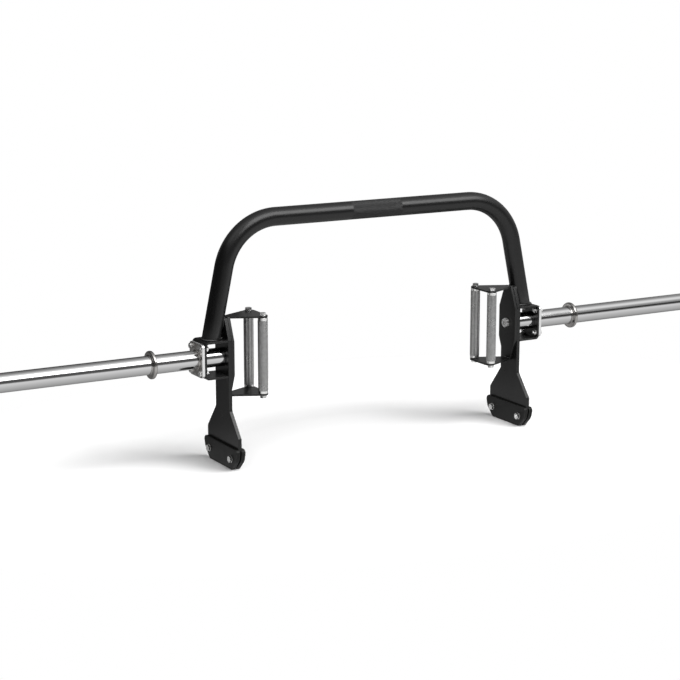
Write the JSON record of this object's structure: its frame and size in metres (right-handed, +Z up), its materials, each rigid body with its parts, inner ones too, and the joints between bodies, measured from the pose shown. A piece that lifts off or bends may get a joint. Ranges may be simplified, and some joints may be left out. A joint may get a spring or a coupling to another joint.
{
  "type": "open-ended trap bar",
  "caption": "Open-ended lifting bar with a bent arch over footed side plates, turning handle cages with knurled grips, and plated loading sleeves.",
  "frame": {"origin": "on the floor, midway between the feet and midway along the bar", "axes": "+X along the bar through both loading sleeves, +Y from front to back, +Z up from the floor"},
  "size_m": [2.2, 0.1954, 0.6768],
  "materials": {
    "powder_coat": "satin black powder coat",
    "chrome": "bright plated",
    "knurled_steel": "knurled, dull plated",
    "zinc": "bright zinc",
    "moulding": "satin black moulding"
  },
  "bodies": {
    "frame": {"arch_tube": "powder_coat", "leg_plate_left": "powder_coat", "leg_plate_right": "powder_coat", "foot_pad_outer_left": "moulding", "foot_pad_outer_right": "moulding", "foot_pad_inner_left": "moulding", "foot_pad_inner_right": "moulding", "foot_bolt_front_left": "zinc", "foot_bolt_back_left": "zinc", "foot_bolt_front_right": "zinc", "foot_bolt_back_right": "zinc", "foot_nut_front_left": "zinc", "foot_nut_back_left": "zinc", "foot_nut_front_right": "zinc", "foot_nut_back_right": "zinc", "box_bracket_left": "powder_coat", "box_bracket_right": "powder_coat", "sleeve_flange_left": "chrome", "sleeve_flange_right": "chrome", "flange_bolt_front_top_left": "zinc", "flange_bolt_back_top_left": "zinc", "flange_bolt_front_bottom_left": "zinc", "flange_bolt_back_bottom_left": "zinc", "flange_bolt_front_top_right": "zinc", "flange_bolt_back_top_right": "zinc", "flange_bolt_front_bottom_right": "zinc", "flange_bolt_back_bottom_right": "zinc", "flange_nut_front_top_left": "zinc", "flange_nut_back_top_left": "zinc", "flange_nut_front_bottom_left": "zinc", "flange_nut_back_bottom_left": "zinc", "flange_nut_front_top_right": "zinc", "flange_nut_back_top_right": "zinc", "flange_nut_front_bottom_right": "zinc", "flange_nut_back_bottom_right": "zinc", "loading_sleeve_left": "chrome", "loading_sleeve_right": "chrome", "stop_ring_left": "chrome", "stop_ring_right": "chrome", "pivot_bolt_left": "zinc", "pivot_bolt_right": "zinc"},
    "handle_left": {"handle_back_plate_left": "powder_coat", "handle_yoke_top_left": "powder_coat", "handle_yoke_bottom_left": "powder_coat", "grip_front_left": "knurled_steel", "grip_back_left": "knurled_steel", "grip_bolt_front_top_left": "zinc", "grip_bolt_front_bottom_left": "zinc", "grip_bolt_back_top_left": "zinc", "grip_bolt_back_bottom_left": "zinc"},
    "handle_right": {"handle_back_plate_right": "powder_coat", "handle_yoke_top_right": "powder_coat", "handle_yoke_bottom_right": "powder_coat", "grip_front_right": "knurled_steel", "grip_back_right": "knurled_steel", "grip_bolt_front_top_right": "zinc", "grip_bolt_front_bottom_right": "zinc", "grip_bolt_back_top_right": "zinc", "grip_bolt_back_bottom_right": "zinc"}
  },
  "joints": [
    {"name": "handle_turn_left", "type": "hinge", "parent": "frame", "child": "handle_left", "pos_m": [-0.4535, 0, 0.292], "axis": [1, 0, 0], "continuous": true},
    {"name": "handle_turn_right", "type": "hinge", "parent": "frame", "child": "handle_right", "pos_m": [0.4535, 0, 0.292], "axis": [1, 0, 0], "continuous": true}
  ]
}
